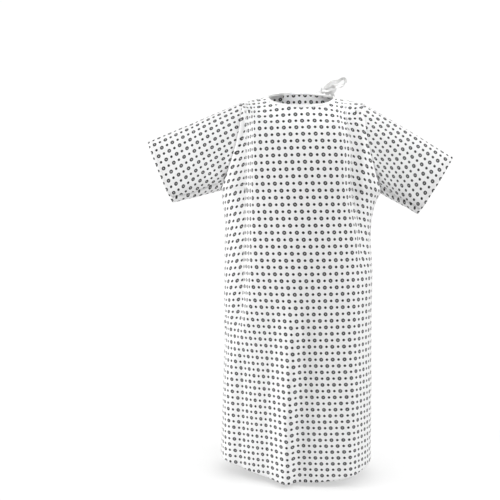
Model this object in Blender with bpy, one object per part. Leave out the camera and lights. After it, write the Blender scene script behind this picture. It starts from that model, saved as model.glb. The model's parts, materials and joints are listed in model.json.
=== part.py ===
"""Patient gown: a back-opening hospital gown hung in its worn shape.

Metres, +Z up. The wearer faces -Y, so the wearer's right side is at -X. The origin is at the
shoulders, midway between the two sides of the neck. The cloth is a shell on each node's middle
surface, thicker than real cloth so that it is a solid.
"""

import math

import bpy
import numpy as np

# Cloth and its seams
CLOTH = 0.0024
SEAM_GAP = 0.0004
SLEEVE_SEAM = 0.0032
FLAP_SEAM = 0.0012
LAYER = 0.0064

# Body, as heights and as half-widths from the middle
HEM_HEIGHT = -1.085
FRONT_HEM_DIP = 0.020
FLAP_TOP = -0.400
ARMPIT_HEIGHT = -0.283
SKIRT_HALF_WIDTH = 0.216
ARMPIT_HALF_WIDTH = 0.234
SHOULDER_HALF_WIDTH = 0.174
SHOULDER_DROP = 0.024
ARMHOLE_HALF_DEPTH = 0.072

# Depth of the front and of the back from the side seams
FRONT_CHEST_DEPTH = 0.132
FRONT_HEM_DEPTH = 0.150
BACK_CHEST_DEPTH = 0.118
BACK_HEM_DEPTH = 0.140
ROUNDNESS = 0.86

# Neck
NECK_HALF_WIDTH = 0.093
FRONT_NECK_DROP = 0.042
FRONT_NECK_DEPTH = 0.084
BACK_NECK_RISE = 0.020
BACK_NECK_DEPTH = 0.080
BINDING_HEIGHT = 0.0075
BINDING_THICKNESS = 0.0032

# Back opening
SKIRT_OVERLAP = 0.105
NECK_OVERLAP_TURN = 34.0

# Sleeves
SLEEVE_LENGTH = 0.305
RIGHT_SLEEVE_DROOP = 23.0
LEFT_SLEEVE_DROOP = 30.0
CUFF_HEIGHT = 0.193
CUFF_HALF_DEPTH = 0.034

# Neck tie
TAPE_WIDTH = 0.011
TAPE_THICKNESS = 0.0022
KNOT_RADIUS = 0.0085
KNOT_GAP = 0.0015
LOOP_LENGTH = 0.056
LOOP_HALF_HEIGHT = 0.011
LONG_TAIL = 0.105
SHORT_TAIL = 0.080

# Facets
SKIRT_ROWS = 9
WAIST_ROWS = 3
ARM_ROWS = 10
SHOULDER_ROWS = 4
FRONT_COLUMNS = 20
BACK_COLUMNS = 14
SLEEVE_ROWS = 6
TAPE_ROWS = 16

WHITE_TAPE = (0.86, 0.86, 0.85)
PRINTED_CLOTH = (0.72, 0.72, 0.72)


def clear_scene():
    for obj in list(bpy.data.objects):
        bpy.data.objects.remove(obj, do_unlink=True)


def ramp(value, start, end):
    """Smooth step from 0 at start to 1 at end."""
    share = min(max((value - start) / (end - start), 0.0), 1.0)
    return share * share * (3.0 - 2.0 * share)


def blend(first, second, share):
    return first + (second - first) * share


def cloth_material(name, color, roughness):
    material = bpy.data.materials.new(name)
    material.use_nodes = True
    shader = material.node_tree.nodes["Principled BSDF"]
    shader.inputs["Base Color"].default_value = (*color, 1.0)
    shader.inputs["Roughness"].default_value = roughness
    shader.inputs["Metallic"].default_value = 0.0
    return material


# --- the lines that the panels share -------------------------------------------------------


def armhole_point(turn):
    """(x, depth, z) of the armhole on the +X side; turn is 0 at the armpit and pi at the shoulder."""
    height = (1.0 - math.cos(turn)) / 2.0
    flare = ARMPIT_HALF_WIDTH - SHOULDER_HALF_WIDTH
    x = SHOULDER_HALF_WIDTH + flare * (1.0 - height) ** 2
    z = blend(ARMPIT_HEIGHT, -SHOULDER_DROP, height)
    return x, ARMHOLE_HALF_DEPTH * math.sin(turn), z


def side_width(z):
    """Half-width of the body on the side seam, which flares towards the armpit."""
    share = max((z - FLAP_TOP) / (ARMPIT_HEIGHT - FLAP_TOP), 0.0)
    return blend(SKIRT_HALF_WIDTH, ARMPIT_HALF_WIDTH, share * share)


def skirt_edge():
    """Rows of (x, depth, z, up) on the side edge from the hem to the top of the flaps."""
    heights = np.linspace(HEM_HEIGHT, FLAP_TOP, SKIRT_ROWS + 1)
    return [(side_width(z), 0.0, z, 0.0) for z in heights]


def top_edge():
    """Rows of (x, depth, z, up) from the top of the flaps past the armhole to the neck.

    up is the share of the way that the row has climbed from the armpit to the neckline.
    """
    rows = []
    for z in np.linspace(FLAP_TOP, ARMPIT_HEIGHT, WAIST_ROWS + 1)[:-1]:
        rows.append((side_width(z), 0.0, z, 0.0))
    arm_share = 0.78
    for step in range(ARM_ROWS + 1):
        turn = math.pi * step / ARM_ROWS
        x, depth, z = armhole_point(turn)
        rows.append((x, depth, z, arm_share * (1.0 - math.cos(turn)) / 2.0))
    for step in range(1, SHOULDER_ROWS + 1):
        share = step / SHOULDER_ROWS
        x = blend(SHOULDER_HALF_WIDTH, NECK_HALF_WIDTH, share)
        z = blend(-SHOULDER_DROP, -BINDING_HEIGHT, share)
        rows.append((x, 0.0, z, blend(arm_share, 1.0, share)))
    return rows


def centre_line(row, depths, neck):
    """(depth, z) on the middle line; depths are chest and hem, neck is depth and height."""
    _, _, z, up = row
    chest_depth, hem_depth = depths
    neck_depth, neck_height = neck
    if up > 0.0:
        depth = blend(chest_depth, neck_depth, up ** 2.2)
        return depth, blend(ARMPIT_HEIGHT, neck_height, up)
    down = ramp(z, ARMPIT_HEIGHT, HEM_HEIGHT)
    return blend(chest_depth, hem_depth, down), z


FRONT_DEPTHS = (FRONT_CHEST_DEPTH, FRONT_HEM_DEPTH)
FRONT_NECK = (FRONT_NECK_DEPTH, -FRONT_NECK_DROP - BINDING_HEIGHT)
BACK_DEPTHS = (BACK_CHEST_DEPTH, BACK_HEM_DEPTH)
BACK_NECK = (BACK_NECK_DEPTH, BACK_NECK_RISE - BINDING_HEIGHT)


# --- surfaces ------------------------------------------------------------------------------


def front_grid(rows):
    """Points of the front's middle surface: one row per edge row, from -X to +X."""
    grid = []
    for row in rows:
        x_edge, edge_depth, z_edge, up = row
        depth, z_middle = centre_line(row, FRONT_DEPTHS, FRONT_NECK)
        z_middle -= FRONT_HEM_DIP * ramp(z_edge, FLAP_TOP, HEM_HEIGHT)
        line = []
        for column in range(FRONT_COLUMNS + 1):
            turn = math.pi * (column / FRONT_COLUMNS - 0.5)
            middle = math.cos(turn) ** ROUNDNESS if column not in (0, FRONT_COLUMNS) else 0.0
            y = -blend(edge_depth + SEAM_GAP / 2.0, depth, middle)
            line.append((x_edge * math.sin(turn), y, blend(z_edge, z_middle, middle ** 2)))
        grid.append(line)
    return np.array(grid)


def overlap_width(up):
    """How far a back panel reaches past the middle; at the neck it follows the neck's own width."""
    neck_overlap = NECK_HALF_WIDTH * math.sin(math.radians(NECK_OVERLAP_TURN))
    return blend(SKIRT_OVERLAP, neck_overlap, up)


def back_grid(rows, side):
    """Points of one back panel, from its side seam at side * X past the middle to its free edge."""
    grid = []
    for row in rows:
        x_edge, edge_depth, z_edge, up = row
        depth, z_middle = centre_line(row, BACK_DEPTHS, BACK_NECK)
        last_turn = math.pi / 2.0 + math.asin(overlap_width(up) / x_edge)
        line = []
        for column in range(BACK_COLUMNS + 1):
            turn = last_turn * column / BACK_COLUMNS
            middle = math.sin(turn) ** ROUNDNESS if column else 0.0
            y = blend(edge_depth + SEAM_GAP / 2.0, depth, middle)
            x = side * x_edge * math.cos(turn)
            line.append((x, y, blend(z_edge, z_middle, middle ** 2)))
        grid.append(line)
    return np.array(grid)


def normals_of(grid):
    """Unit normals of a grid, pointing away from the body's axis."""
    along = np.gradient(grid, axis=1)
    up = np.gradient(grid, axis=0)
    normals = np.cross(along, up)
    normals /= np.linalg.norm(normals, axis=2, keepdims=True)
    outward = grid * (1.0, 1.0, 0.0)
    inward = (normals * outward).sum(axis=2, keepdims=True) < 0.0
    return np.where(inward, -normals, normals)


def lift_outer(grid):
    """Moves the outer back panel off the one that it laps over, more and more from its side seam."""
    shares = [ramp(column / BACK_COLUMNS, 0.05, 0.60) for column in range(BACK_COLUMNS + 1)]
    return grid + normals_of(grid) * (LAYER * np.array(shares))[None, :, None]


def sleeve_grid(side, droop):
    """Rings of one sleeve from the armhole to the cuff; side is +1 for the wearer's left."""
    angle = math.radians(droop)
    along = np.array([side * math.cos(angle), 0.0, -math.sin(angle)])
    down = np.array([-side * math.sin(angle), 0.0, -math.cos(angle)])
    shoulder = np.array([side * SHOULDER_HALF_WIDTH, 0.0, -SHOULDER_DROP])
    cuff_top = shoulder + along * SLEEVE_LENGTH
    rings = []
    for ring in range(SLEEVE_ROWS + 1):
        share = ring / SLEEVE_ROWS
        line = []
        for step in range(2 * ARM_ROWS):
            turn = math.pi - math.pi * step / ARM_ROWS
            x, depth, z = armhole_point(abs(turn))
            start = np.array([side * x, math.copysign(depth, turn), z]) + along * SLEEVE_SEAM
            fall = CUFF_HEIGHT * (1.0 + math.cos(turn)) / 2.0
            end = cuff_top + down * fall + np.array([0.0, CUFF_HALF_DEPTH * math.sin(turn), 0.0])
            line.append(blend(start, end, share))
        rings.append(line)
    return np.array(rings)


# --- solids --------------------------------------------------------------------------------


def shell(name, grid, thickness, material, closed=False, flip=False):
    """A closed solid around the middle surface that the grid's points span."""
    rows, columns, _ = grid.shape
    across = columns if closed else columns - 1
    faces = []
    for row in range(rows - 1):
        for column in range(across):
            beside = (column + 1) % columns
            low = row * columns
            high = low + columns
            face = (low + column, low + beside, high + beside, high + column)
            faces.append(face[::-1] if flip else face)
    mesh = bpy.data.meshes.new(name)
    mesh.from_pydata([tuple(point) for point in grid.reshape(-1, 3)], [], faces)
    mesh.materials.append(material)
    mesh.shade_smooth()
    obj = bpy.data.objects.new(name, mesh)
    bpy.context.collection.objects.link(obj)
    solidify = obj.modifiers.new("cloth", "SOLIDIFY")
    solidify.thickness = thickness
    solidify.offset = 0.0
    solidify.use_even_offset = True
    solidify.use_rim = True
    return obj


def binding_grid(panel):
    """The tape that stands on a panel's neck edge."""
    edge = panel[-1]
    rise = edge - panel[-2]
    rise /= np.linalg.norm(rise, axis=1, keepdims=True)
    upright = 0.35 * rise + 0.65 * np.array([0.0, 0.0, 1.0])
    upright /= np.linalg.norm(upright, axis=1, keepdims=True)
    bottom = edge + upright * (CLOTH / 2.0 + SEAM_GAP)
    return np.array([bottom, bottom + upright * BINDING_HEIGHT])


def strip_grid(path, across, width):
    """A tape along path, width wide, lying along the direction across."""
    path = np.array(path)
    across = np.array(across) / np.linalg.norm(across)
    return np.array([path - across * width / 2.0, path + across * width / 2.0])


def hang_on(obj, parent):
    """Parents an object whose mesh is in world coordinates, without moving it."""
    obj.parent = parent
    obj.matrix_parent_inverse = parent.matrix_world.inverted()


def pivot(name, location):
    empty = bpy.data.objects.new(name, None)
    empty.empty_display_size = 0.03
    empty.location = location
    bpy.context.collection.objects.link(empty)
    bpy.context.view_layer.update()
    return empty


# --- pieces --------------------------------------------------------------------------------


def make_front(cloth, tape):
    rows = skirt_edge()[:-1] + top_edge()
    grid = front_grid(rows)
    shell("front_panel", grid, CLOTH, cloth)
    shell("front_neck_binding", binding_grid(grid), BINDING_THICKNESS, tape)


def make_back(name, side, outer, cloth, tape):
    """One back panel: the part above the fold line, the flap below it, and its neck binding."""
    upper = back_grid(top_edge(), side)
    lower_rows = skirt_edge()
    lower = back_grid(lower_rows, side)
    if outer:
        upper = lift_outer(upper)
        lower = lift_outer(lower)
    lower[-1, :, 2] -= FLAP_SEAM
    turned = side > 0
    shell(name + "_back_panel", upper, CLOTH, cloth, flip=turned)
    shell(name + "_back_neck_binding", binding_grid(upper), BINDING_THICKNESS, tape, flip=turned)
    hinge = pivot(name + "_flap_axis", (side * (SKIRT_HALF_WIDTH + CLOTH / 2.0), 0.0, FLAP_TOP))
    flap = shell(name + "_back_flap", lower, CLOTH, cloth, flip=turned)
    hang_on(flap, hinge)
    return upper


def make_sleeve(name, side, droop, cloth):
    hinge = pivot(name + "_shoulder_axis", (side * SHOULDER_HALF_WIDTH, 0.0, -SHOULDER_DROP))
    grid = sleeve_grid(side, droop)
    sleeve = shell(name + "_sleeve", grid, CLOTH, cloth, closed=True, flip=side > 0)
    hang_on(sleeve, hinge)


def loop_path(knot, out, rise):
    """A bow's loop from the knot and back, along out, opening along rise."""
    points = []
    for step in range(TAPE_ROWS + 1):
        turn = blend(0.12, 2.0 * math.pi - 0.12, step / TAPE_ROWS)
        reach = LOOP_LENGTH * (1.0 - math.cos(turn)) / 2.0
        lift = LOOP_HALF_HEIGHT * math.sin(turn) * (0.45 + 0.55 * reach / LOOP_LENGTH)
        points.append(knot + out * (KNOT_RADIUS + KNOT_GAP + TAPE_THICKNESS + reach) + rise * lift)
    return points


def tail_path(start, lean, length):
    """A tie's free end, from the knot over the back's slope and down."""
    points = []
    for step in range(TAPE_ROWS + 1):
        share = step / TAPE_ROWS
        back = 0.052 * math.sin(min(share * 1.6, 1.0) * math.pi / 2.0)
        drop = length * (0.25 * share + 0.75 * share ** 1.5)
        points.append(start + np.array([lean * share, back, -drop]))
    return points


def make_bow(outer_edge, tape):
    """The tied neck tapes: the knot beside the outer panel's neck corner, two loops, two ends."""
    corner = outer_edge[-1]
    before = outer_edge[-2]
    along = (corner - before) / np.linalg.norm(corner - before)
    knot = corner + along * (KNOT_RADIUS + KNOT_GAP) + np.array([0.0, 0.007, 0.014])
    bpy.ops.mesh.primitive_uv_sphere_add(segments=12, ring_count=8, radius=KNOT_RADIUS)
    ball = bpy.context.object
    ball.name = "bow_knot"
    ball.location = knot
    ball.scale = (1.0, 0.8, 0.75)
    ball.data.materials.append(tape)
    ball.data.shade_smooth()
    up_out = np.array([0.80, 0.10, 0.59])
    up_side = np.array([-0.59, 0.0, 0.80])
    upper = strip_grid(loop_path(knot, up_out, up_side), (0.0, 1.0, 0.0), TAPE_WIDTH)
    shell("bow_upper_loop", upper, TAPE_THICKNESS, tape)
    back_out = np.array([-0.45, 0.86, -0.20])
    back_side = np.array([0.0, 0.22, 0.97])
    lower = strip_grid(loop_path(knot, back_out, back_side), (0.88, 0.47, 0.0), TAPE_WIDTH)
    shell("bow_lower_loop", lower, TAPE_THICKNESS, tape)
    reach = KNOT_RADIUS + KNOT_GAP
    for name, lean, offset, length in (
        ("long_tie_end", 0.020, 0.010, LONG_TAIL),
        ("short_tie_end", 0.036, 0.024, SHORT_TAIL),
    ):
        start = knot + np.array([offset, reach, -0.004])
        grid = strip_grid(tail_path(start, lean, length), (1.0, 0.0, 0.0), TAPE_WIDTH)
        shell(name, grid, TAPE_THICKNESS, tape)


def main():
    clear_scene()
    cloth = cloth_material("printed_cloth", PRINTED_CLOTH, 0.85)
    tape = cloth_material("white_tape", WHITE_TAPE, 0.80)
    make_front(cloth, tape)
    outer = make_back("right", -1, True, cloth, tape)
    make_back("left", 1, False, cloth, tape)
    make_sleeve("right", -1, RIGHT_SLEEVE_DROOP, cloth)
    make_sleeve("left", 1, LEFT_SLEEVE_DROOP, cloth)
    make_bow(outer[-1], tape)


main()
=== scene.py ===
"""Looks of the patient gown: printed cloth with its folds and hems, taped neck, tied bow, stitching.

The pieces are lofted on the CAD's own lines and then folded. Lengths are metres, angles radians.
The wearer faces -Y; side is -1 for the wearer's right and +1 for the wearer's left.
"""

import json
import math

import bmesh
import bpy
import numpy as np
from mathutils import Matrix, Vector, noise


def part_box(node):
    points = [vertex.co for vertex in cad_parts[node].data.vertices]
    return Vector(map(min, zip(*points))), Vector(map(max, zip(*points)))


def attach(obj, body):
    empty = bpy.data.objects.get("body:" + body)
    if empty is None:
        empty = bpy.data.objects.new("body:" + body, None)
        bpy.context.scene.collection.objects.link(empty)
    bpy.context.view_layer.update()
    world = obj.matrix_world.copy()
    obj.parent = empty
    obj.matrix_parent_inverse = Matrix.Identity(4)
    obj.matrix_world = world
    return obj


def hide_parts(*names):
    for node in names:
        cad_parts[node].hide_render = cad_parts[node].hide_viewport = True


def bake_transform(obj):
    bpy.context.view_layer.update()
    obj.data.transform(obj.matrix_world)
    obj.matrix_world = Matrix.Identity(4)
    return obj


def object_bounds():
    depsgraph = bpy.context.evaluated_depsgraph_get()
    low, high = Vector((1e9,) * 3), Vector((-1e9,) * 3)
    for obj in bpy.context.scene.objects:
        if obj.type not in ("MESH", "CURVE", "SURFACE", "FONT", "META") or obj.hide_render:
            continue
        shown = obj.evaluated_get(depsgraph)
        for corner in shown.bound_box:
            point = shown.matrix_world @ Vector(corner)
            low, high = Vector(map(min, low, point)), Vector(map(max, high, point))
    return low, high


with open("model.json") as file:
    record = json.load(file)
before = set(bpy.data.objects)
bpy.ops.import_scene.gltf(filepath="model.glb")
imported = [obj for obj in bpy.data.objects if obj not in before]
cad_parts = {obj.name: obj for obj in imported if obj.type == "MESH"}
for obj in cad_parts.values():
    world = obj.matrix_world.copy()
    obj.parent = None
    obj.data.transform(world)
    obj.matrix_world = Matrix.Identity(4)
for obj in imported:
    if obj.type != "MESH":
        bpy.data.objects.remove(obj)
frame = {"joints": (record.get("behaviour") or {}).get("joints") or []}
cad_low, cad_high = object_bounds()

# --- sizes that the frame gives ---------------------------------------------------------------

JOINT = {joint["name"]: joint for joint in frame["joints"]}
SHOULDER = Vector(JOINT["left_sleeve_raise"]["pos_m"])
SEAM_AXIS = Vector(JOINT["left_flap_open"]["pos_m"])
FRONT_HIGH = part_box("front_panel")[1]
NECK_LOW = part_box("front_neck_binding")[0]
KNOT_LOW, KNOT_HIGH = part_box("bow_knot")

CAD_CLOTH = 0.0024
SKIRT_HALF_WIDTH = SEAM_AXIS.x - CAD_CLOTH / 2.0
WAIST_HEIGHT = SEAM_AXIS.z
ARMPIT_HALF_WIDTH = FRONT_HIGH.x - CAD_CLOTH / 2.0
NECK_HALF_WIDTH = 0.093
FRONT_NECK_HEIGHT = NECK_LOW.z
HEM_HEIGHT = -1.085
FRONT_HEM_DIP = 0.020
SIDE_HEM_RISE = 0.022
NECK_PULL = 0.010
ARMPIT_HEIGHT = -0.283
ARMHOLE_HALF_DEPTH = 0.072
FRONT_DEPTHS = (0.132, 0.150)
BACK_DEPTHS = (0.118, 0.140)
FRONT_NECK = (0.084, FRONT_NECK_HEIGHT + 0.0010)
BACK_NECK = (0.080, 0.0125)
ROUNDNESS = 0.84
ARM_SHARE = 0.78
LAYER = 0.0064
SKIRT_OVERLAP = 0.105
NECK_OVERLAP_TURN = math.radians(34.0)
SLEEVE_LENGTH = 0.305
SLEEVE_DROOP = {-1: math.radians(23.0), 1: math.radians(30.0)}
CUFF_HEIGHT = 0.193
CUFF_HALF_DEPTH = 0.034

# --- cloth --------------------------------------------------------------------------------------

ARMHOLE_LINE = 0.30
FRONT_LINE = 0.58
BACK_LINE = 0.40
SLEEVE_LINE = 0.34
SMOOTHING = 30
CLOTH = 0.0006
CELL = 0.0042
PRINT_COLUMN = 0.0174
PRINT_ROW = 0.0195
GRAIN_SLANT = 0.085
ROW_SLANT = 0.025
COLUMN_EASE = 0.09
ROW_EASE = 0.1275
SHOULDER_EASE = 0.45
WHITE_CLOTH = (0.88, 0.88, 0.882)
PRINT_INK = (0.008, 0.0082, 0.0092)
PETALS = 8
PETAL_WIDTH = 0.378
PETAL_RIM = (0.345, 0.322)
HOLE_RIM = (0.072, 0.092)
HEART_RIM = (0.045, 0.035)
DOT_RIM = (0.236, 0.212)
WEAVE_PITCH = 0.00075
TWILL_PITCH = 0.0011
# Painted shade: the bow's tape is the same white tape as the neck binding, with its colour scaled down by
# this so that it looks shaded.
TIE_PAINTED_SHADE = 0.84
HEM_ROWS = 4
FOLD_IN = 0.0013
SEAM_DIP = 0.0026
FOLD_SET_BACK = 0.012
FOLD_WIDTH = 0.010
FOLD_REACH = 0.050
FOLD_STRETCH = 1.32
EDGE_CURL = 0.0040
BACK_PRINT_SHIFT = (0.0062, 0.0081)
BINDING_HEIGHT = 0.0078
BINDING_THICKNESS = 0.0028
TAPE_WIDTH = 0.0125
TAPE_THICKNESS = 0.0010
TAPE_SIDES = 12
THREAD = 0.00028
STITCH = 0.0032
STITCH_GAP = 0.0011

# --- camera ---------------------------------------------------------------------------------------

EYE = Vector((-0.024, -2.20, -0.332))
EYE_YAW = math.radians(-3.19)
EYE_PITCH = math.radians(3.28)
EYE_ROLL = math.radians(0.96)
LENS = 53.5

# --- light ----------------------------------------------------------------------------------------

WORLD_BEHIND = 1.03
WORLD_ROUND = 0.64
WORLD_OVERHEAD = 0.95
LEFT_POWER = 31.0
RIGHT_POWER = 20.0
FRONT_POWER = 9.0
NECK_POWER = 0.13
NECK_SPREAD = math.radians(16.0)
FLOOR_RADIUS = 1.25
FLOOR_GAP = 0.012
FLOOR_STRENGTH = 0.55


def ramp(value, start, end):
    """Smooth step from 0 at start to 1 at end, for numbers and arrays."""
    share = np.clip((np.asarray(value, float) - start) / (end - start), 0.0, 1.0)
    return share * share * (3.0 - 2.0 * share)


def mix(first, second, share):
    return first + (second - first) * share


def bump(value, centre, width):
    return np.exp(-(((np.asarray(value, float) - centre) / width) ** 2))


def ridge(value, centre, width):
    """A fold's height across it: a soft crest that falls away more slowly than a bump."""
    return 1.0 / np.cosh((np.asarray(value, float) - centre) / width)


def noise_field(points, scale, seed):
    """Smooth noise from about -1 to 1 at each point."""
    shift = Vector((seed * 7.13, seed * 3.71, seed * 5.37))
    flat = points.reshape(-1, 3)
    values = [noise.noise(Vector(point) * scale + shift) for point in flat]
    return np.array(values).reshape(points.shape[:-1])


# --- shapes on the CAD's lines ----------------------------------------------------------------------


def armhole_point(turn):
    """(x, depth, z) of the armhole on the +X side; turn is 0 at the armpit and pi at the shoulder."""
    height = (1.0 - math.cos(turn)) / 2.0
    x = SHOULDER.x + (ARMPIT_HALF_WIDTH - SHOULDER.x) * (1.0 - height) ** 2
    return x, ARMHOLE_HALF_DEPTH * math.sin(turn), mix(ARMPIT_HEIGHT, SHOULDER.z, height)


def side_width(z):
    """Half the body's width below the armpit, with the flare towards the hem."""
    share = max((z - WAIST_HEIGHT) / (ARMPIT_HEIGHT - WAIST_HEIGHT), 0.0)
    flare = 0.007 * float(ramp(z, -0.62, HEM_HEIGHT))
    return mix(SKIRT_HALF_WIDTH, ARMPIT_HALF_WIDTH, share * share) + flare


def edge_rows():
    """Rows of (x, depth, z, up) on a panel's side edge from the hem to the neck."""
    rows = []
    steps = round((ARMPIT_HEIGHT - HEM_HEIGHT) / CELL)
    for z in np.linspace(HEM_HEIGHT, ARMPIT_HEIGHT, steps + 1)[:-1]:
        rows.append((side_width(z), 0.0, z, 0.0))
    steps = round(ARMHOLE_LINE / CELL)
    for turn in np.linspace(0.0, math.pi, steps + 1):
        x, depth, z = armhole_point(turn)
        rows.append((x, depth, z, ARM_SHARE * (1.0 - math.cos(turn)) / 2.0))
    steps = round((SHOULDER.x - NECK_HALF_WIDTH) / CELL)
    for share in np.linspace(0.0, 1.0, steps + 1)[1:]:
        x = mix(SHOULDER.x, NECK_HALF_WIDTH, share)
        rows.append((x, 0.0, mix(SHOULDER.z, -0.0075, share), mix(ARM_SHARE, 1.0, share)))
    return rows


def centre_line(row, depths, neck):
    """(depth, z) on the middle line of a panel."""
    _, _, z, up = row
    if up > 0.0:
        return mix(depths[0], neck[0], up ** 2.2), mix(ARMPIT_HEIGHT, neck[1], up)
    return mix(depths[0], depths[1], float(ramp(z, ARMPIT_HEIGHT, HEM_HEIGHT))), z


def smoothed(grid, rounds):
    """Evens out a grid of points, leaving its four edges."""
    for _ in range(rounds):
        inside = grid[:-2, 1:-1] + grid[2:, 1:-1] + grid[1:-1, :-2] + grid[1:-1, 2:]
        grid[1:-1, 1:-1] = 0.5 * grid[1:-1, 1:-1] + 0.125 * inside
    return grid


def hem_rise(z):
    """How much the hem is cut up at the side seams."""
    return SIDE_HEM_RISE * float(ramp(z, -0.80, HEM_HEIGHT))


def neck_shift(x, row):
    """Draws the neck a little to the wearer's right, as worn."""
    pull = NECK_PULL * float(ramp(row[3], ARM_SHARE, 1.0))
    return np.where(x < 0.0, x * (1.0 + pull / NECK_HALF_WIDTH), x)


def settled(x, z):
    """Moves the body's sides a little to the wearer's right under the arms, where the gown hangs so."""
    right = 0.0065 * float(ramp(z, ARMPIT_HEIGHT, -0.32) * ramp(z, -0.88, -0.62))
    left = 0.0070 * float(ramp(z, ARMPIT_HEIGHT, -0.31) * ramp(z, -0.52, -0.40))
    return np.where(x < 0.0, x * (1.0 + right / SKIRT_HALF_WIDTH), x * (1.0 - left / SKIRT_HALF_WIDTH))


def front_base():
    """The front panel before its folds, and each column's turn round the body."""
    columns = round(FRONT_LINE / CELL)
    turns = np.linspace(-math.pi / 2.0, math.pi / 2.0, columns + 1)
    middle = np.cos(turns).clip(0.0, 1.0) ** ROUNDNESS
    grid = []
    for row in edge_rows():
        x_edge, edge_depth, z_edge, _ = row
        depth, z_middle = centre_line(row, FRONT_DEPTHS, FRONT_NECK)
        z_middle -= FRONT_HEM_DIP * float(ramp(z_edge, WAIST_HEIGHT, HEM_HEIGHT))
        y = -mix(edge_depth, depth, middle)
        power = mix(2.0, 0.95, float(ramp(row[3], 0.55, 1.0)))
        z = mix(z_edge + hem_rise(z_edge), z_middle, middle ** power)
        x = settled(neck_shift(x_edge * np.sin(turns), row), z_edge)
        grid.append(np.stack([x, y, z], axis=1))
    return smoothed(np.array(grid), SMOOTHING), turns


def back_base(side):
    """A back panel before its folds, and each column's share of the way to its free edge."""
    columns = round(BACK_LINE / CELL)
    shares = np.linspace(0.0, 1.0, columns + 1)
    grid = []
    for row in edge_rows():
        x_edge, edge_depth, z_edge, up = row
        depth, z_middle = centre_line(row, BACK_DEPTHS, BACK_NECK)
        overlap = mix(SKIRT_OVERLAP, NECK_HALF_WIDTH * math.sin(NECK_OVERLAP_TURN), up)
        turns = (math.pi / 2.0 + math.asin(overlap / x_edge)) * shares
        middle = np.sin(turns).clip(0.0, 1.0) ** ROUNDNESS
        y = mix(edge_depth, depth, middle)
        z = mix(z_edge + hem_rise(z_edge), z_middle, middle ** 2)
        x = settled(neck_shift(side * x_edge * np.cos(turns), row), z_edge)
        grid.append(np.stack([x, y, z], axis=1))
    return smoothed(np.array(grid), SMOOTHING), shares


def normals_of(grid, wrap=False):
    """Unit normals of a grid, pointing away from the body's or the sleeve's axis."""
    if wrap:
        along = np.roll(grid, -1, axis=1) - np.roll(grid, 1, axis=1)
    else:
        along = np.gradient(grid, axis=1)
    normals = np.cross(along, np.gradient(grid, axis=0))
    normals /= np.linalg.norm(normals, axis=2, keepdims=True) + 1e-12
    centre = grid.mean(axis=1, keepdims=True) if wrap else np.array([0.0, 0.0, 1.0]) * grid
    inward = (normals * (grid - centre)).sum(axis=2, keepdims=True) < 0.0
    return np.where(inward, -normals, normals)


def arc(grid, axis):
    """Distance walked along a grid's lines, 0 at the first line."""
    steps = np.linalg.norm(np.diff(grid, axis=axis), axis=2)
    zero = np.zeros_like(steps[:1] if axis == 0 else steps[:, :1])
    return np.concatenate([zero, np.cumsum(steps, axis=axis)], axis=axis)


# --- folds ------------------------------------------------------------------------------------------


def step_fold(x, centre, width, reach):
    """A fold where the cloth turns away from the front and then levels out again."""
    off = x - centre
    levelling = np.exp(-((np.clip(off, 0.0, None) / reach) ** 2))
    return -0.5 * (1.0 + np.tanh(off / width)) * levelling


def fold_line(z, side):
    """Distance from the middle of the fold that runs down the front from an armhole."""
    if side < 0:
        return 0.160 + 0.004 * ramp(z, -0.10, -0.50) + 0.045 * ramp(z, -0.52, -0.80)
    return 0.121 + 0.018 * ramp(z, -0.05, -0.18) + 0.042 * ramp(z, -0.24, -0.44)


def front_folds(points, turns):
    """Height of the front's folds over its base."""
    x, z = points[..., 0], points[..., 2]
    left = ramp(z, -0.56, -0.40) * ramp(z, -0.03, -0.08)
    right = ramp(z, -0.88, -0.62) * ramp(z, -0.04, -0.11)
    low = ramp(z, -0.46, -0.86)
    height = 0.0130 * left * step_fold(x, fold_line(z, 1) - FOLD_SET_BACK, FOLD_WIDTH, FOLD_REACH)
    height += 0.0170 * right * step_fold(-x, fold_line(z, -1) - FOLD_SET_BACK, FOLD_WIDTH, FOLD_REACH)
    height += 0.0070 * bump(x, 0.006, 0.075) * ramp(z, -0.64, -0.42) * ramp(z, -0.06, -0.16)
    height += 0.0045 * ridge(x, 0.172, 0.007) * ramp(z, -0.36, -0.26) * ramp(z, -0.09, -0.17)
    crest = mix(-0.014, -0.022, ramp(z, -0.62, -0.96)) - 0.002 * ramp(z, -0.94, -1.14)
    height += low * 0.013 * ridge(x, crest, 0.015)
    height -= low * 0.024 * ramp(crest - x, 0.002, 0.068) * ramp(x, -0.212, -0.165)
    height += low * 0.018 * step_fold(x, crest + 0.015, 0.008, 0.080)
    height += low * 0.013 * ridge(x, 0.150, 0.022)
    height += 0.0018 * noise_field(points * (1.0, 1.0, 0.35), 15.0, 1)
    height += 0.0008 * noise_field(points * (1.0, 1.0, 0.55), 40.0, 2)
    armhole = ramp(z, ARMPIT_HEIGHT - 0.04, ARMPIT_HEIGHT + 0.01)
    edge = ramp(math.pi / 2.0 - np.abs(turns)[None, :], 0.0, mix(0.10, 0.30, armhole))
    return height * edge * ramp(z, -0.004, -0.05) - seam_dip(points, (0, -1))


def seam_dip(points, sides):
    """How far a seam pulls the cloth in along a grid's first or last columns."""
    columns = np.arange(points.shape[1])
    dip = np.zeros(points.shape[:2])
    for side in sides:
        off = CELL * (columns if side == 0 else columns[::-1])
        pull = 1.0 + 0.5 * noise_field(points, 95.0, 9 + side)
        dip += SEAM_DIP * pull * ramp(off, 0.009, 0.0)[None, :]
    return dip


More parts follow.
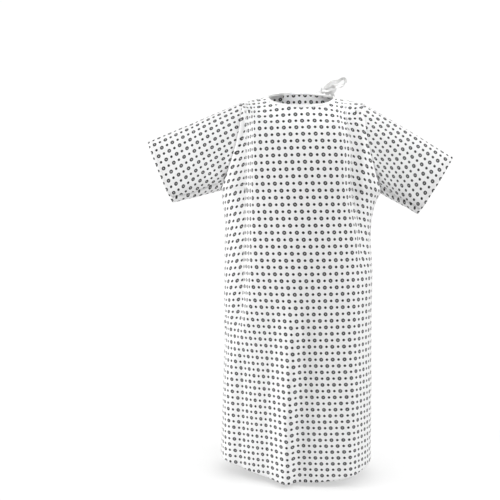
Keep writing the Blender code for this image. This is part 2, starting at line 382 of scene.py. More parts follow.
def back_folds(points, shares, seed):
    """Height of a back panel's folds over its base."""
    x, z = points[..., 0], points[..., 2]
    low = ramp(z, -0.30, -1.05)
    height = low * 0.011 * np.sin(x * 46.0 + seed + 1.4 * z) * (1.0 - 0.5 * shares[None, :])
    height += 0.003 * ramp(z, -0.08, -0.2) * step_fold(np.abs(x), 0.14, 0.010, 0.05)
    height += 0.0016 * noise_field(points * (1.0, 1.0, 0.35), 15.0, seed)
    height += 0.0007 * noise_field(points * (1.0, 1.0, 0.55), 40.0, seed + 1)
    return height * ramp(shares[None, :], 0.0, 0.16) * ramp(z, 0.012, -0.06) - seam_dip(points, (0,))


# --- meshes ------------------------------------------------------------------------------------------


def grid_object(name, grid, flat, material, thickness=CLOTH, wrap=False, flip=False):
    """A cloth piece from a grid of points; flat holds where each point lay on the flat cloth."""
    rows, columns, _ = grid.shape
    across = columns if wrap else columns - 1
    row, column = np.meshgrid(np.arange(rows - 1), np.arange(across), indexing="ij")
    low = row * columns + column
    beside = row * columns + (column + 1) % columns
    faces = np.stack([low, beside, beside + columns, low + columns], axis=2).reshape(-1, 4)
    if flip:
        faces = faces[:, ::-1]
    mesh = bpy.data.meshes.new(name)
    mesh.from_pydata(grid.reshape(-1, 3).tolist(), [], faces.tolist())
    place = mesh.attributes.new("flat_place", "FLOAT_VECTOR", "POINT")
    spread = np.concatenate([flat, np.zeros_like(flat[..., :1])], axis=2)
    place.data.foreach_set("vector", spread.astype(np.float32).ravel())
    mesh.materials.append(material)
    mesh.shade_smooth()
    obj = bpy.data.objects.new(name, mesh)
    bpy.context.collection.objects.link(obj)
    if thickness:
        solid = obj.modifiers.new("cloth", "SOLIDIFY")
        solid.thickness = thickness
        solid.offset = 0.0
    return obj


def walked_along(path):
    """Distance walked along a path, at each of its points."""
    return np.concatenate([[0.0], np.cumsum(np.linalg.norm(np.diff(path, axis=0), axis=1))])


def frames_along(path):
    """Unit tangents of a path of points."""
    tangents = np.gradient(path, axis=0)
    return tangents / np.linalg.norm(tangents, axis=1, keepdims=True)


def curve_through(points, steps):
    """Evenly spaced points on a smooth curve through a few given ones."""
    points = np.array(points, float)
    padded = np.vstack([2 * points[0] - points[1], points, 2 * points[-1] - points[-2]])
    line = []
    for index in range(len(points) - 1):
        p0, p1, p2, p3 = padded[index:index + 4]
        for t in np.linspace(0.0, 1.0, 24, endpoint=False):
            line.append(
                0.5 * (2 * p1 + (p2 - p0) * t + (2 * p0 - 5 * p1 + 4 * p2 - p3) * t ** 2
                       + (3 * p1 - p0 - 3 * p2 + p3) * t ** 3)
            )
    line = np.array(line + [points[-1]])
    walked = walked_along(line)
    even = np.linspace(0.0, walked[-1], steps)
    return np.stack([np.interp(even, walked, line[:, k]) for k in range(line.shape[1])], axis=1)


def swept(name, path, across, half_width, half_thick, material):
    """A tape: a rounded flat section carried along a path; across is the tape's width direction."""
    tangents = frames_along(path)
    across = across - (across * tangents).sum(axis=1, keepdims=True) * tangents
    across /= np.linalg.norm(across, axis=1, keepdims=True)
    out = np.cross(tangents, across)
    section = []
    for step in range(TAPE_SIDES):
        angle = 2.0 * math.pi * step / TAPE_SIDES
        wide = math.copysign(abs(math.cos(angle)) ** 0.35, math.cos(angle))
        thick = math.copysign(abs(math.sin(angle)) ** 0.6, math.sin(angle))
        section.append((wide, thick))
    grid = np.array(
        [path + across * half_width * wide + out * half_thick * thick for wide, thick in section]
    ).transpose(1, 0, 2)
    walked = walked_along(path)
    flat = np.zeros((len(path), TAPE_SIDES, 2))
    flat[..., 0] = np.array([wide for wide, _ in section])[None, :] * half_width
    flat[..., 1] = walked[:, None]
    obj = grid_object(name, grid, flat, material, thickness=0.0, wrap=True)
    mesh = obj.data
    bm = bmesh.new()
    bm.from_mesh(mesh)
    bmesh.ops.holes_fill(bm, edges=[edge for edge in bm.edges if edge.is_boundary])
    bmesh.ops.recalc_face_normals(bm, faces=bm.faces)
    bm.to_mesh(mesh)
    bm.free()
    mesh.shade_smooth()
    return obj


def stitches(name, path, normals, material, lift=0.0004):
    """A line of machine stitches along a path on the cloth, each a short raised thread."""
    walked = walked_along(path)
    pitch = STITCH + STITCH_GAP
    points, faces = [], []
    profile = ((0.0, -0.35), (0.18, 0.75), (0.5, 1.0), (0.82, 0.75), (1.0, -0.35))
    for index in range(int(walked[-1] / pitch)):
        spots = index * pitch + np.array([share for share, _ in profile]) * STITCH
        line = np.stack([np.interp(spots, walked, path[:, k]) for k in range(3)], axis=1)
        up = np.stack([np.interp(spots, walked, normals[:, k]) for k in range(3)], axis=1)
        along = line[-1] - line[0]
        along /= np.linalg.norm(along) + 1e-12
        beside = np.cross(up[2], along)
        first = len(points)
        for spot, (_, rise) in zip(line, profile):
            centre = spot + up[2] * (lift + THREAD * rise)
            for turn in range(4):
                angle = math.pi / 4.0 + turn * math.pi / 2.0
                shift = beside * math.cos(angle) + up[2] * math.sin(angle)
                points.append(centre + shift * THREAD)
        for ring in range(4):
            for turn in range(4):
                low = first + ring * 4
                beyond = (turn + 1) % 4
                faces.append((low + turn, low + beyond, low + 4 + beyond, low + 4 + turn))
        faces.append((first + 3, first + 2, first + 1, first))
        faces.append((first + 16, first + 17, first + 18, first + 19))
    mesh = bpy.data.meshes.new(name)
    mesh.from_pydata(np.array(points).tolist(), [], faces)
    mesh.materials.append(material)
    mesh.shade_smooth()
    obj = bpy.data.objects.new(name, mesh)
    bpy.context.collection.objects.link(obj)
    return obj


# --- materials ------------------------------------------------------------------------------------------


class Graph:
    """Short forms for building a material's nodes."""

    def __init__(self, name):
        self.material = bpy.data.materials.new(name)
        self.material.use_nodes = True
        self.tree = self.material.node_tree
        self.shader = self.tree.nodes["Principled BSDF"]

    def node(self, kind):
        return self.tree.nodes.new(kind)

    def join(self, source, target):
        if isinstance(source, (int, float)):
            target.default_value = source
        else:
            self.tree.links.new(source, target)

    def math(self, operation, *values):
        node = self.node("ShaderNodeMath")
        node.operation = operation
        for value, socket in zip(values, node.inputs):
            self.join(value, socket)
        return node.outputs[0]

    def rise(self, value, start, end):
        """0 below start and 1 above end, smooth between."""
        node = self.node("ShaderNodeMapRange")
        node.interpolation_type = "SMOOTHSTEP"
        for number, socket in zip((value, start, end, 0.0, 1.0), node.inputs[:5]):
            self.join(number, socket)
        return node.outputs[0]

    def colour(self, share, first, second):
        node = self.node("ShaderNodeMix")
        node.data_type = "RGBA"
        self.join(share, node.inputs["Factor"])
        for value, socket in ((first, node.inputs[6]), (second, node.inputs[7])):
            if isinstance(value, tuple):
                socket.default_value = (*value, 1.0)
            else:
                self.tree.links.new(value, socket)
        return node.outputs[2]

    def flat_place(self):
        place = self.node("ShaderNodeAttribute")
        place.attribute_name = "flat_place"
        parts = self.node("ShaderNodeSeparateXYZ")
        self.tree.links.new(place.outputs["Vector"], parts.inputs[0])
        return parts.outputs[0], parts.outputs[1], place.outputs["Vector"]

    def noise(self, vector, scale, detail):
        node = self.node("ShaderNodeTexNoise")
        node.inputs["Scale"].default_value = scale
        node.inputs["Detail"].default_value = detail
        if vector is not None:
            self.tree.links.new(vector, node.inputs["Vector"])
        return node.outputs[0]

    def bumped(self, height, distance, strength, under=None):
        node = self.node("ShaderNodeBump")
        node.inputs["Strength"].default_value = strength
        node.inputs["Distance"].default_value = distance
        self.join(height, node.inputs["Height"])
        if under is not None:
            self.tree.links.new(under, node.inputs["Normal"])
        return node.outputs[0]


def printed_cloth(name):
    """White plain weave, printed with medallions and dots in turn, like the squares of a draughts board."""
    g = Graph(name)
    u, v, place = g.flat_place()
    a = g.math("DIVIDE", u, PRINT_COLUMN)
    b = g.math("DIVIDE", v, PRINT_ROW)
    cell_a = g.math("FLOOR", a)
    cell_b = g.math("FLOOR", b)
    x = g.math("SUBTRACT", g.math("SUBTRACT", a, cell_a), 0.5)
    y = g.math("SUBTRACT", g.math("SUBTRACT", b, cell_b), 0.5)
    y = g.math("MULTIPLY", y, PRINT_ROW / PRINT_COLUMN)
    odd = g.math("MODULO", g.math("ABSOLUTE", g.math("ADD", cell_a, cell_b)), 2.0)
    odd = g.rise(odd, 0.4, 0.6)
    wobble = g.math("MULTIPLY", g.math("SUBTRACT", g.noise(place, 900.0, 2.0), 0.5), 0.05)
    radius = g.math("SQRT", g.math("ADD", g.math("MULTIPLY", x, x), g.math("MULTIPLY", y, y)))
    rough_radius = g.math("ADD", radius, wobble)
    angle = g.math("ADD", g.math("ARCTAN2", y, x), 2.0 * math.pi)
    off_petal = g.math("PINGPONG", angle, math.pi / PETALS)
    beside = g.math("MULTIPLY", radius, g.math("SINE", off_petal))
    petal_edge = g.math("SUBTRACT", beside, g.math("MULTIPLY", radius, PETAL_WIDTH))
    petal = g.rise(petal_edge, 0.010, -0.010)
    petal = g.math("MULTIPLY", petal, g.rise(rough_radius, *PETAL_RIM))
    petal = g.math("MULTIPLY", petal, g.rise(radius, *HOLE_RIM))
    heart = g.rise(radius, *HEART_RIM)
    medallion = g.math("MAXIMUM", petal, heart)
    dot = g.rise(rough_radius, *DOT_RIM)
    inked = g.math("ADD", g.math("MULTIPLY", medallion, g.math("SUBTRACT", 1.0, odd)),
                   g.math("MULTIPLY", dot, odd))
    patchy = g.math("ADD", 0.86, g.math("MULTIPLY", g.noise(place, 1500.0, 2.0), 0.22))
    inked = g.math("MULTIPLY", inked, patchy)
    lint = g.noise(place, 60.0, 4.0)
    cloth = g.colour(lint, tuple(c * 0.965 for c in WHITE_CLOTH), WHITE_CLOTH)
    g.tree.links.new(g.colour(inked, cloth, PRINT_INK), g.shader.inputs["Base Color"])
    warp = g.math("SINE", g.math("MULTIPLY", u, 2.0 * math.pi / WEAVE_PITCH))
    weft = g.math("SINE", g.math("MULTIPLY", v, 2.0 * math.pi / WEAVE_PITCH))
    weave = g.math("MULTIPLY", warp, weft)
    creases = g.bumped(g.noise(place, 75.0, 3.0), 0.0012, 0.30)
    g.tree.links.new(g.bumped(weave, 0.00008, 0.35, creases), g.shader.inputs["Normal"])
    g.tree.links.new(g.math("ADD", 0.84, g.math("MULTIPLY", lint, 0.10)), g.shader.inputs["Roughness"])
    g.shader.inputs["Specular IOR Level"].default_value = 0.25
    g.shader.inputs["Sheen Weight"].default_value = 0.12
    g.shader.inputs["Sheen Roughness"].default_value = 0.5
    return g.material


def white_tape(name, painted_shade_scale=1.0):
    """White cotton twill tape: fine slanting ribs, painted shade in their hollows; the second argument
    darkens all of it as painted shade.
    """
    g = Graph(name)
    u, v, place = g.flat_place()
    slant = g.math("ADD", u, g.math("MULTIPLY", v, 0.8))
    rib = g.math("SINE", g.math("MULTIPLY", slant, 2.0 * math.pi / TWILL_PITCH))
    fleck = g.noise(place, 400.0, 3.0)
    # Painted shade: the ribs' hollows take the greyer colour and the crests the whiter one; the noise adds
    # random flecks of tone.
    shade = g.math("ADD", g.math("MULTIPLY", rib, 0.12), fleck)
    # Painted shade: both colours are scaled down for a copy of the tape that is made darker all over.
    shaded_hollow = tuple(c * painted_shade_scale for c in (0.80, 0.80, 0.79))
    crest = tuple(c * painted_shade_scale for c in (0.92, 0.92, 0.915))
    g.tree.links.new(g.colour(shade, shaded_hollow, crest), g.shader.inputs["Base Color"])
    fuzz = g.bumped(g.noise(place, 220.0, 3.0), 0.0006, 0.25)
    g.tree.links.new(g.bumped(rib, 0.00012, 0.45, fuzz), g.shader.inputs["Normal"])
    g.tree.links.new(g.math("ADD", 0.80, g.math("MULTIPLY", fleck, 0.12)), g.shader.inputs["Roughness"])
    g.shader.inputs["Sheen Weight"].default_value = 0.15
    g.shader.inputs["Specular IOR Level"].default_value = 0.25
    return g.material


def thread_material():
    g = Graph("sewing_thread")
    twist = g.noise(None, 900.0, 2.0)
    g.tree.links.new(g.colour(twist, (0.70, 0.70, 0.69), (0.86, 0.86, 0.85)),
                     g.shader.inputs["Base Color"])
    g.tree.links.new(g.bumped(twist, 0.0001, 0.4), g.shader.inputs["Normal"])
    g.shader.inputs["Roughness"].default_value = 0.6
    return g.material


# --- pieces ----------------------------------------------------------------------------------------------


def walked_round(row):
    """Distance walked along a row of points, 0 at the middle of the body."""
    walked = walked_along(row[:, :2])
    walked = walked - np.interp(0.0, *sorted_by(row[:, 0], walked))
    return walked if walked[0] * row[0, 0] >= 0.0 else -walked


def sorted_by(keys, values):
    order = np.argsort(keys)
    return keys[order], values[order]


def print_place(grid, low_rows):
    """Where each point of a body panel lay on the flat cloth: across and up, in metres.

    Across is the distance walked round the body, along each row up to the armpit and along the
    next row above it. Up is the height, with what the slope of the shoulders adds. The print is
    a little off the cloth's grain, and it is eased together towards the hem.
    """
    x, y, z = grid[..., 0], np.abs(grid[..., 1]), grid[..., 2]
    base_row = grid[low_rows]
    across = np.interp(x, *sorted_by(base_row[:, 0], walked_round(base_row)))
    for index in range(low_rows):
        across[index] = walked_round(grid[index])
    depth = np.interp(x, *sorted_by(base_row[:, 0], np.abs(base_row[:, 1])))
    set_back = depth - y
    middle = set_back[:, np.argmin(np.abs(base_row[:, 0]))]
    set_back = np.clip(set_back - middle[:, None], 0.0, None) * ramp(z, -0.28, -0.16)
    up = z + SHOULDER_EASE * set_back - ROW_SLANT * x
    eased = np.clip(-0.42 - z, 0.0, None)
    across = across * (1.0 + COLUMN_EASE * ramp(z, -0.45, -0.80)) + GRAIN_SLANT * z
    return np.stack([across, up - ROW_EASE * eased * eased], axis=2)


def drape_side(grid, flat, side, hidden, drop, squeeze, low):
    """Shifts the print beyond a fold of the front, where the cloth hangs askew from the shoulder.

    hidden is the width of cloth in the fold for each metre above its lower end at the height low,
    so the print's columns lean outward. Its rows drop towards the side seam by drop for each metre,
    and squeeze is how far the columns crowd together just before the fold.
    """
    for row, place in zip(grid, flat):
        z = row[:, 2]
        out = side * row[:, 0]
        line = fold_line(z, side)
        past = out - line
        there = ramp(z, low - 0.10, low) * ramp(z, -0.02, -0.07)
        keys, values = sorted_by(out, place[:, 0])
        keys_past = keys - np.interp(keys, *sorted_by(out, line))
        near_edge = ramp((keys_past[1:] + keys_past[:-1]) / 2.0, 0.010, 0.036)
        steps = mix(FOLD_STRETCH * np.diff(keys), side * np.diff(values), near_edge)
        walked = np.concatenate([[0.0], np.cumsum(steps)])
        walked = np.interp(out, keys, walked - np.interp(0.0, keys_past, walked))
        start = np.interp(0.0, keys_past, values)
        share = there * (past > 0.0)
        place[:, 0] = mix(place[:, 0], start + side * walked, share)
        place[:, 0] += side * there * squeeze * ramp(past, -0.030, 0.0)
        place[:, 0] += side * hidden * np.clip(z - low, 0.0, None) * ramp(past, 0.0, 0.004)
        place[:, 1] += there * drop * np.clip(past, 0.0, None)


def cloth_rows():
    """How many rows of a panel lie at the armpit or below it."""
    rows = edge_rows()
    return sum(1 for row in rows if row[3] == 0.0)


def hemmed(grid, flat, start=True, wrap=False):
    """Adds the turned-in hem at a grid's first or last rows: cloth folded up behind the edge."""
    if not start:
        turned, turned_flat = hemmed(grid[::-1], flat[::-1], wrap=wrap)
        return turned[::-1], turned_flat[::-1]
    normals = normals_of(grid, wrap)
    inside = [grid[k] - normals[k] * FOLD_IN for k in (HEM_ROWS, HEM_ROWS // 2, 0)]
    plain = [2.0 * flat[0] - flat[k] for k in (HEM_ROWS, HEM_ROWS // 2, 0)]
    return np.concatenate([inside, grid]), np.concatenate([plain, flat])


def make_front(cloth):
    base, turns = front_base()
    flat = print_place(base, cloth_rows())
    drape_side(base, flat, -1, 0.42, 0.19, 0.032, -0.60)
    drape_side(base, flat, 1, 0.20, 0.26, 0.016, -0.42)
    grid = base + normals_of(base) * front_folds(base, turns)[..., None]
    with_hem, flat = hemmed(grid, flat)
    front = grid_object("front_cloth", with_hem, flat, cloth)
    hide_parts("front_panel")
    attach(front, "root")
    return grid


def lifted(grid, shares):
    """Moves the outer back panel off the one that it laps over."""
    return grid + normals_of(grid) * (LAYER * ramp(shares, 0.05, 0.60))[None, :, None]


def make_back(name, side, cloth, seed):
    base, shares = back_base(side)
    if side < 0:
        base = lifted(base, shares)
    flat = print_place(base, cloth_rows())
    height = back_folds(base, shares, seed)
    if side < 0:
        flat = flat + BACK_PRINT_SHIFT
        height += EDGE_CURL * ramp(shares, 0.93, 1.0)[None, :] * ramp(base[..., 2], -0.02, -0.10)
    grid = base + normals_of(base) * height[..., None]
    with_hem, flat = hemmed(grid, flat)
    back = grid_object(name + "_back_cloth", with_hem, flat, cloth)
    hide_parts(name + "_back_panel", name + "_back_flap")
    return back, grid


def sleeve_base(side):
    droop = SLEEVE_DROOP[side]
    along = np.array([side * math.cos(droop), 0.0, -math.sin(droop)])
    down = np.array([-side * math.sin(droop), 0.0, -math.cos(droop)])
    shoulder = np.array([side * SHOULDER.x, 0.0, SHOULDER.z])
    cuff_top = shoulder + along * SLEEVE_LENGTH
    around = 2 * round(SLEEVE_LINE / CELL)
    turns = math.pi - 2.0 * math.pi * np.arange(around) / around
    rings = round(SLEEVE_LENGTH / CELL)
    start = []
    for turn in turns:
        x, depth, z = armhole_point(abs(turn))
        start.append((side * x, math.copysign(depth, turn), z))
    start = np.array(start)
    fall = CUFF_HEIGHT * (1.0 + np.cos(turns)) / 2.0
    end = cuff_top + down * fall[:, None]
    end[:, 1] += CUFF_HALF_DEPTH * np.sin(turns)
    shares = np.linspace(0.0, 1.0, rings + 1)
    grid = mix(start[None], end[None], shares[:, None, None])
    return grid, shares, turns, along, shoulder


def sleeve_folds(grid, shares, turns, seed):
    """Height of a sleeve's folds: a roll along its underside and soft pulls from the armpit."""
    share = shares[:, None]
    under = np.abs(turns)[None, :]
    start = ramp(share, 0.0, 0.12)
    height = -0.0085 * bump(under, 0.50 + 0.05 * np.sin(7.0 * share + seed), 0.055) * start
    height += 0.0030 * bump(under, 0.85, 0.16) * start
    pull = under - 0.80 - 1.25 * share
    height += 0.0050 * ridge(pull, 0.0, 0.10) * ramp(share, 0.0, 0.08) * ramp(share, 0.42, 0.15)
    height -= 0.0035 * bump(pull, 0.42, 0.16) * ramp(share, 0.0, 0.10) * ramp(share, 0.60, 0.20)
    height += 0.0030 * ridge(under - 1.9 - 0.5 * share, 0.0, 0.12) * bump(share, 0.30, 0.22)
    height += 0.0026 * noise_field(grid * (0.5, 1.0, 1.0), 20.0, seed)
    height += 0.0010 * noise_field(grid, 46.0, seed + 3)
    top = ramp(math.pi - under, 0.0, 0.35)
    dip = seam_dip(grid.transpose(1, 0, 2), (0,)).T
    return height * mix(0.25, 1.0, top) * ramp(share, 0.0, 0.06) - dip


def make_sleeve(name, side, cloth, seed):
    grid, shares, turns, along, shoulder = sleeve_base(side)
    walked = arc(np.concatenate([grid, grid[:, :1]], axis=1), 1)[:, :-1]
    whole = walked[:, -1:] + np.linalg.norm(grid[:, :1] - grid[:, -1:], axis=2)
    around = np.where(turns[None, :] >= 0.0, walked, walked - whole)
    lengthwise = ((grid - shoulder) * along).sum(axis=2)
    height = sleeve_folds(grid, shares, turns, seed)
    puffed = grid + normals_of(grid, wrap=True) * height[..., None]
    flat = np.stack([lengthwise, around], axis=2)
    with_hem, flat = hemmed(puffed, flat, start=False, wrap=True)
    tucked = puffed[0] - 0.006 * along - 0.003 * normals_of(puffed, wrap=True)[0]
    with_hem = np.concatenate([tucked[None], with_hem])
    flat = np.concatenate([flat[:1] - (0.006, 0.0), flat])
    sleeve = grid_object(name + "_sleeve_cloth", with_hem, flat, cloth, wrap=True, flip=side < 0)
    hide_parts(name + "_sleeve")
    return sleeve, puffed


def make_binding(name, node, panel, tape):
    """Tape folded over a panel's neck edge, standing a little above it."""
    edge = panel[-1]
    rise = edge - panel[-3]
    rise /= np.linalg.norm(rise, axis=1, keepdims=True)
    upright = 0.35 * rise + 0.65 * np.array([0.0, 0.0, 1.0])
    upright /= np.linalg.norm(upright, axis=1, keepdims=True)
    path = curve_through(edge + upright * (BINDING_HEIGHT / 2.0 - 0.0012), 110)
    ups = curve_through(upright, 110)
    obj = swept(name, path, ups, BINDING_HEIGHT / 2.0, BINDING_THICKNESS / 2.0, tape)
    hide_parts(node)
    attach(obj, "root")
    return path, ups


def sew_binding(name, path, ups, thread):
    """A line of stitches near the lower edge of the neck tape, on its outer face."""
    out = np.cross(frames_along(path), ups)
    away = (out[:, :2] * path[:, :2]).sum(axis=1, keepdims=True) < 0.0
    out = np.where(away, -out, out)
    line = path - ups * BINDING_HEIGHT * 0.33 + out * BINDING_THICKNESS * 0.47
    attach(stitches(name, line, out, thread, lift=0.0), "root")


def offset_path(start, points, steps):
    """A smooth path through points given as (across, back, up) from a start."""
    return curve_through([np.array(start) + np.array(point) for point in points], steps)


def make_knot(centre, tape):
    """The knot: two wraps of tape that cross over each other."""
    steps = 40
    turn = np.linspace(0.0, 2.0 * math.pi, steps)
    for index, (lean, size) in enumerate(((0.35, 0.0062), (1.75, 0.0074))):
        one = np.array([math.cos(lean), 0.0, math.sin(lean)])
        two = np.array([0.0, 1.0, 0.15 * index])
        axis = np.cross(one, two)
        wave = 1.0 + 0.10 * np.sin(3.0 * turn + index)
        path = centre + size * (np.cos(turn)[:, None] * one + np.sin(turn)[:, None] * two) * wave[:, None]
        path = path + axis * (0.0012 * np.sin(2.0 * turn))[:, None]
        across = np.tile(axis, (steps, 1)) + 0.25 * np.cos(turn)[:, None] * one
        wrap = swept(f"knot_wrap_{index + 1}", path, across, TAPE_WIDTH * 0.46, TAPE_THICKNESS * 0.8, tape)
        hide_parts("bow_knot")
        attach(wrap, "root")


def twisted(count, stops):
    """Width directions along a path, turning evenly between a few given ones."""
    shares = np.linspace(0.0, 1.0, count)
    at = [share for share, _ in stops]
    ways = np.array([way for _, way in stops], float)
    return np.stack([np.interp(shares, at, ways[:, k]) for k in range(3)], axis=1)


def rolled(path, stops):
    """Width directions of a tape that lies along Y, rolled out of the loop's plane by degrees."""
    back = np.array([0.0, 1.0, 0.0])
    outward = np.cross(back, frames_along(path))
    shares = np.linspace(0.0, 1.0, len(path))
    roll = np.radians(np.interp(shares, [at for at, _ in stops], [angle for _, angle in stops]))
    return np.cos(roll)[:, None] * back + np.sin(roll)[:, None] * outward


def make_loops(centre, tape):
    """The bow's two loops and a crumpled fold between them."""
    upper = offset_path(centre, (
        (0.002, -0.003, 0.003), (0.008, -0.007, 0.011), (0.019, -0.008, 0.0195), (0.032, -0.006, 0.0245),
        (0.043, -0.002, 0.0280), (0.052, 0.0, 0.0355), (0.0605, 0.001, 0.0365), (0.0655, 0.002, 0.0300),
        (0.0625, 0.003, 0.0210), (0.0530, 0.003, 0.0140), (0.0410, 0.000, 0.0125), (0.0270, -0.002, 0.0085),
        (0.0120, -0.002, 0.0010), (0.002, 0.001, -0.001),
    ), 100)
    across = rolled(upper, ((0.0, 40.0), (0.07, 72.0), (0.27, 70.0), (0.38, 34.0), (0.60, 30.0),
                            (0.72, 68.0), (0.92, 70.0), (1.0, 40.0)))
    upper = upper + across * 0.0008 * np.sin(np.linspace(0.0, 21.0, 100))[:, None]
    upper[:, 1] += 0.0014 * np.sin(np.linspace(0.0, 19.0, 100))
    loop = swept("upper_loop_tape", upper, across, TAPE_WIDTH / 2.0, TAPE_THICKNESS / 2.0, tape)
    crumple = offset_path(centre, (
        (0.004, 0.004, 0.0), (0.014, 0.000, 0.010), (0.026, -0.003, 0.016), (0.036, 0.0, 0.010),
        (0.033, 0.004, 0.000), (0.021, 0.003, -0.005), (0.006, 0.004, -0.002),
    ), 60)
    crumple_across = twisted(60, (
        (0.0, (0.2, 0.9, -0.3)), (0.25, (-0.55, 0.65, 0.55)), (0.5, (0.35, 0.85, 0.3)),
        (0.75, (0.15, 0.6, -0.75)), (1.0, (0.2, 0.9, -0.3)),
    ))
    crumple[:, 1] += 0.0014 * np.sin(np.linspace(0.0, 23.0, 60))
    fold = swept(
        "crumpled_fold_tape", crumple, crumple_across, TAPE_WIDTH / 2.0, TAPE_THICKNESS / 2.0, tape
    )
    lower = offset_path(centre, (
        (0.0, 0.004, -0.001), (-0.006, 0.016, -0.003), (-0.015, 0.034, -0.008), (-0.025, 0.050, -0.013),
        (-0.031, 0.058, -0.010), (-0.029, 0.053, -0.001), (-0.019, 0.038, 0.002), (-0.009, 0.020, 0.001),
        (0.0, 0.006, 0.001),
    ), 80)
    lower_across = twisted(80, ((0.0, (0.7, 0.2, 0.6)), (0.5, (0.88, 0.47, 0.1)), (1.0, (0.7, 0.2, 0.6))))
    back_loop = swept("lower_loop_tape", lower, lower_across, TAPE_WIDTH / 2.0, TAPE_THICKNESS / 2.0, tape)
    for piece, node in ((loop, "bow_upper_loop"), (fold, "bow_upper_loop"), (back_loop, "bow_lower_loop")):
        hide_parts(node)
        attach(piece, "root")


def make_tie_end(node, start, lean, length, seed, tape):
    """A free end of tape that goes back from the knot and hangs down behind the gown."""
    s = np.linspace(0.0, 1.0, 70)
    sway = 0.0022 * np.sin(6.0 * s + seed) * s
    path = np.stack([
        start[0] + lean * s + sway,
        start[1] + 0.050 * np.sin(np.minimum(1.6 * s, 1.0) * math.pi / 2.0) + 0.6 * sway,
        start[2] - length * (0.25 * s + 0.75 * s ** 1.5) * 0.96,
    ], axis=1)
    turn = 0.25 + 0.55 * np.sin(2.2 * s + seed)
    across = np.stack([np.cos(turn), -np.sin(turn), 0.15 * s], axis=1)
    end = swept(node.replace("_", "_tape_", 1), path, across, TAPE_WIDTH / 2.0, TAPE_THICKNESS / 2.0, tape)
    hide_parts(node)
    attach(end, "root")


def make_bow(tape):
    centre = np.array((KNOT_LOW + KNOT_HIGH) / 2.0)
    make_knot(centre, tape)
    make_loops(centre, tape)
    ends = (("long_tie_end", 0.018, 0.105, 0.4), ("short_tie_end", 0.034, 0.080, 2.0))
    for node, lean, length, seed in ends:
        low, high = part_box(node)
        start = (low.x + TAPE_WIDTH / 2.0, low.y + 0.001, high.z - 0.002)
        make_tie_end(node, start, lean, length, seed, tape)


# --- scene -----------------------------------------------------------------------------------------------


def make_camera():
    data = bpy.data.cameras.new("camera")
    data.lens = LENS
    data.sensor_width = 36.0
    camera = bpy.data.objects.new("camera", data)
    bpy.context.collection.objects.link(camera)
    sin_yaw, cos_yaw = math.sin(EYE_YAW), math.cos(EYE_YAW)
    sin_pitch, cos_pitch = math.sin(EYE_PITCH), math.cos(EYE_PITCH)
    ahead = Vector((sin_yaw * cos_pitch, cos_yaw * cos_pitch, -sin_pitch))
    right = Vector((cos_yaw, -sin_yaw, 0.0))
    above = right.cross(ahead)
    rolled_right = right * math.cos(EYE_ROLL) + above * math.sin(EYE_ROLL)
    rolled_above = above * math.cos(EYE_ROLL) - right * math.sin(EYE_ROLL)
    turn = Matrix((rolled_right, rolled_above, -ahead)).transposed()
    camera.matrix_world = Matrix.Translation(EYE) @ turn.to_4x4()
    bpy.context.scene.camera = camera


def make_light(name, place, target, size, power, spread=math.pi):
    data = bpy.data.lights.new(name, "AREA")
    data.spread = spread
    data.shape = "RECTANGLE"
    data.size, data.size_y = size
    data.energy = power
    light = bpy.data.objects.new(name, data)
    bpy.context.collection.objects.link(light)
    light.location = place
    light.rotation_euler = (Vector(target) - Vector(place)).to_track_quat("-Z", "Y").to_euler()


def make_studio():
    """A white studio: brightest behind the gown, nearly as bright overhead, softer all round."""
    world = bpy.data.worlds.new("studio")
    bpy.context.scene.world = world
    world.use_nodes = True
    tree = world.node_tree
    background = tree.nodes["Background"]
    background.inputs["Color"].default_value = (1.0, 1.0, 1.0, 1.0)
    way = tree.nodes.new("ShaderNodeTexCoord")
    parts = tree.nodes.new("ShaderNodeSeparateXYZ")
    tree.links.new(way.outputs["Generated"], parts.inputs[0])

    def eased(socket, start, end, low, high):
        node = tree.nodes.new("ShaderNodeMapRange")
        node.interpolation_type = "SMOOTHSTEP"
        for number, place in zip((start, end, low, high), node.inputs[1:5]):
            place.default_value = number
        tree.links.new(socket, node.inputs[0])
        return node.outputs[0]

    behind = eased(parts.outputs[1], 0.72, 0.88, 0.0, WORLD_BEHIND - WORLD_ROUND)
    overhead = eased(parts.outputs[2], 0.35, 0.85, 0.0, WORLD_OVERHEAD - WORLD_ROUND)
    total = tree.nodes.new("ShaderNodeMath")
    total.operation = "ADD"
    tree.links.new(behind, total.inputs[0])
    tree.links.new(overhead, total.inputs[1])
    level = tree.nodes.new("ShaderNodeMath")
    level.operation = "ADD"
    level.inputs[1].default_value = WORLD_ROUND
    tree.links.new(total.outputs[0], level.inputs[0])
    tree.links.new(level.outputs[0], background.inputs["Strength"])
    chest = (0.0, 0.0, -0.55)
    make_light("left_softbox", (-2.3, -0.6, -0.3), chest, (1.0, 2.4), LEFT_POWER)
    make_light("right_softbox", (2.2, -0.6, 0.4), (0.0, 0.0, -0.2), (1.0, 1.4), RIGHT_POWER)
    make_light("front_softbox", (0.3, -2.6, 1.6), (0.0, 0.0, -0.3), (1.8, 1.8), FRONT_POWER)
    inside_neck = (0.02, 0.05, 0.0)
    make_light("neck_softbox", (0.02, -1.0, 1.05), inside_neck, (0.12, 0.12), NECK_POWER, NECK_SPREAD)
    bpy.context.scene.view_settings.view_transform = "Standard"


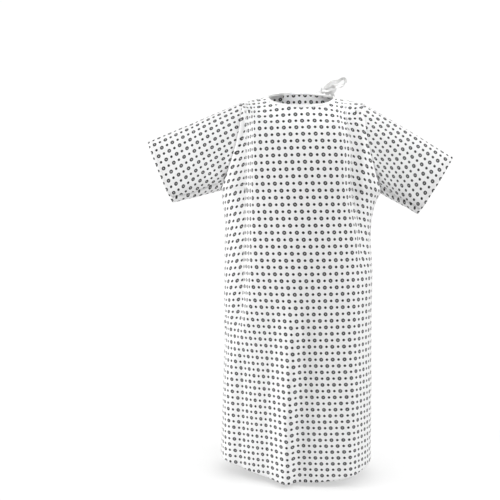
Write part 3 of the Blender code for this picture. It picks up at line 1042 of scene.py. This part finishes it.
def make_floor():
    """A pale round floor just under the hem, which fades out at its rim."""
    g = Graph("pale_floor")
    place = g.node("ShaderNodeTexCoord")
    far = g.node("ShaderNodeVectorMath")
    far.operation = "LENGTH"
    g.tree.links.new(place.outputs["Object"], far.inputs[0])
    fade = g.math("MULTIPLY", g.rise(far.outputs["Value"], FLOOR_RADIUS, 0.18), FLOOR_STRENGTH)
    g.tree.links.new(fade, g.shader.inputs["Alpha"])
    grain = g.noise(None, 30.0, 4.0)
    g.tree.links.new(g.colour(grain, (0.95, 0.95, 0.95), (0.97, 0.97, 0.97)),
                     g.shader.inputs["Base Color"])
    g.shader.inputs["Roughness"].default_value = 0.9
    g.shader.inputs["Specular IOR Level"].default_value = 0.1
    mesh = bpy.data.meshes.new("floor")
    rim = [(FLOOR_RADIUS * math.cos(math.pi * k / 32), FLOOR_RADIUS * math.sin(math.pi * k / 32), 0.0)
           for k in range(64)]
    mesh.from_pydata(rim, [], [list(range(64))])
    mesh.materials.append(g.material)
    floor = bpy.data.objects.new("floor", mesh)
    floor.location = (0.0, 0.0, cad_low.z - FLOOR_GAP)
    bpy.context.collection.objects.link(floor)


def make_sides_back(name, side, seed, cloth, tape, thread):
    """One back panel with its stitches, and the tape on its neck edge."""
    back, grid = make_back(name, side, cloth, seed)

    def to_back(obj):
        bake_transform(obj)

    to_back(back)
    normals = normals_of(grid)
    hem = HEM_ROWS - 1
    to_back(stitches(name + "_back_hem_stitches", grid[hem], normals[hem], thread))
    to_back(stitches(name + "_back_edge_stitches", grid[:, -4], normals[:, -4], thread))
    path, ups = make_binding(name + "_binding", name + "_back_neck_binding", grid, tape)
    sew_binding(name + "_binding_stitches", path, ups, thread)


def make_sides_sleeve(name, side, seed, cloth, thread):
    """One sleeve that slopes down from its armhole, with its cuff stitches."""
    sleeve, rings = make_sleeve(name, side, cloth, seed)
    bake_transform(sleeve)
    ring = np.concatenate([rings[-HEM_ROWS], rings[-HEM_ROWS, :1]])
    outward = normals_of(rings, wrap=True)[-HEM_ROWS]
    cuff = stitches(name + "_cuff_stitches", ring, np.concatenate([outward, outward[:1]]), thread)
    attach(cuff, name + "_arm")


def main():
    make_camera()
    make_studio()
    make_floor()
    cloth = printed_cloth("printed_cloth")
    tape = white_tape("white_tape")
    thread = thread_material()
    grid = make_front(cloth)
    hem = HEM_ROWS - 1
    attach(stitches("front_hem_stitches", grid[hem], normals_of(grid)[hem], thread), "root")
    path, ups = make_binding("front_binding", "front_neck_binding", grid, tape)
    sew_binding("front_binding_stitches", path, ups, thread)
    for name, side, seed in (("right", -1, 3), ("left", 1, 5)):
        make_sides_back(name, side, seed, cloth, tape, thread)
        make_sides_sleeve(name, side, seed + 10, cloth, thread)
    # The bow's tape: the same white tape, darkened all over with painted shade.
    make_bow(white_tape("shaded_white_tie_tape", TIE_PAINTED_SHADE))


main()
